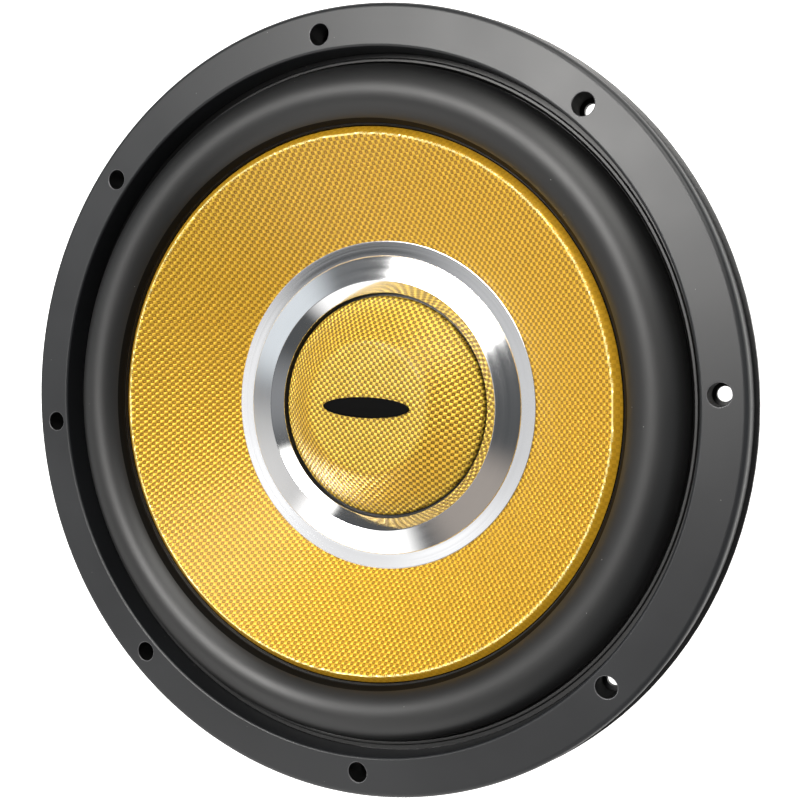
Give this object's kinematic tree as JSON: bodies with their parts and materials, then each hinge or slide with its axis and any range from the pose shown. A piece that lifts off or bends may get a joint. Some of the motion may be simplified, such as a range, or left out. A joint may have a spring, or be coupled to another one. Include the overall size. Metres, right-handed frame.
{
  "type": "car subwoofer driver",
  "caption": "Car subwoofer driver: gold woven cone and raised cap with a plated ring, rubber surround, black trim ring, pressed steel basket, vented magnet motor and push terminals.",
  "frame": {"origin": "centre of the mounting plane, which is the rear face of the basket's flange", "axes": "+Z along the axis, out of the front of the cone; +X along the badge's long axis"},
  "size_m": [0.3196, 0.3196, 0.1478],
  "materials": {
    "basket_paint": "semi-matt black powder coat on pressed steel",
    "trim_plastic": "satin black moulded plastic",
    "surround_rubber": "satin black butyl rubber",
    "spider_cloth": "phenolic-dipped woven cloth, tan",
    "plated_steel": "zinc-plated steel",
    "ferrite": "matt dark ferrite, ground faces",
    "vent_mesh": "black perforated disc",
    "boot_rubber": "matt black moulded rubber",
    "terminal_plastic": "black moulded plastic",
    "nickel": "nickel plate",
    "spring_steel": "bright spring wire",
    "lead_braid": "tinned copper braid",
    "woven_glass": "gold woven glass fibre with a pressed diamond weave, clear resin",
    "chrome_plate": "bright chrome-plated plastic",
    "badge_gloss": "gloss black",
    "former_foil": "anodised aluminium foil",
    "coil_wire": "enamelled copper wire",
    "tab_red_plastic": "red moulded plastic",
    "tab_black_plastic": "black moulded plastic"
  },
  "bodies": {
    "frame": {"basket": "basket_paint", "trim_ring": "trim_plastic", "surround": "surround_rubber", "spider": "spider_cloth", "top_plate": "plated_steel", "magnet_front": "ferrite", "magnet_rear": "ferrite", "yoke": "plated_steel", "vent_screen": "vent_mesh", "magnet_boot": "boot_rubber", "basket_rivets": "plated_steel", "terminal_block": "terminal_plastic", "terminal_rivets": "plated_steel", "contact_red": "nickel", "contact_black": "nickel", "tab_spring_red": "spring_steel", "tab_spring_black": "spring_steel", "tinsel_lead_red": "lead_braid", "tinsel_lead_black": "lead_braid"},
    "cone_assembly": {"cone": "woven_glass", "dust_cap": "woven_glass", "bezel_ring": "chrome_plate", "badge": "badge_gloss", "voice_coil_former": "former_foil", "voice_coil": "coil_wire", "lead_eyelets": "nickel"},
    "tab_red": {"push_tab_red": "tab_red_plastic"},
    "tab_black": {"push_tab_black": "tab_black_plastic"}
  },
  "joints": [
    {"name": "cone_stroke", "type": "slide", "parent": "frame", "child": "cone_assembly", "axis": [0, 0, 1], "range_m": [-0.01, 0.01], "stiffness_N_per_m": 6500, "deforming": ["surround", "spider", "tinsel_lead_red", "tinsel_lead_black"]},
    {"name": "tab_red_press", "type": "slide", "parent": "frame", "child": "tab_red", "axis": [0, 0.7474, 0.6644], "range_m": [0, 0.0025], "stiffness_N_per_m": 400, "springref_m": -0.003, "deforming": ["tab_spring_red"]},
    {"name": "tab_black_press", "type": "slide", "parent": "frame", "child": "tab_black", "axis": [0, 0.7474, 0.6644], "range_m": [0, 0.0025], "stiffness_N_per_m": 400, "springref_m": -0.003, "deforming": ["tab_spring_black"]}
  ]
}
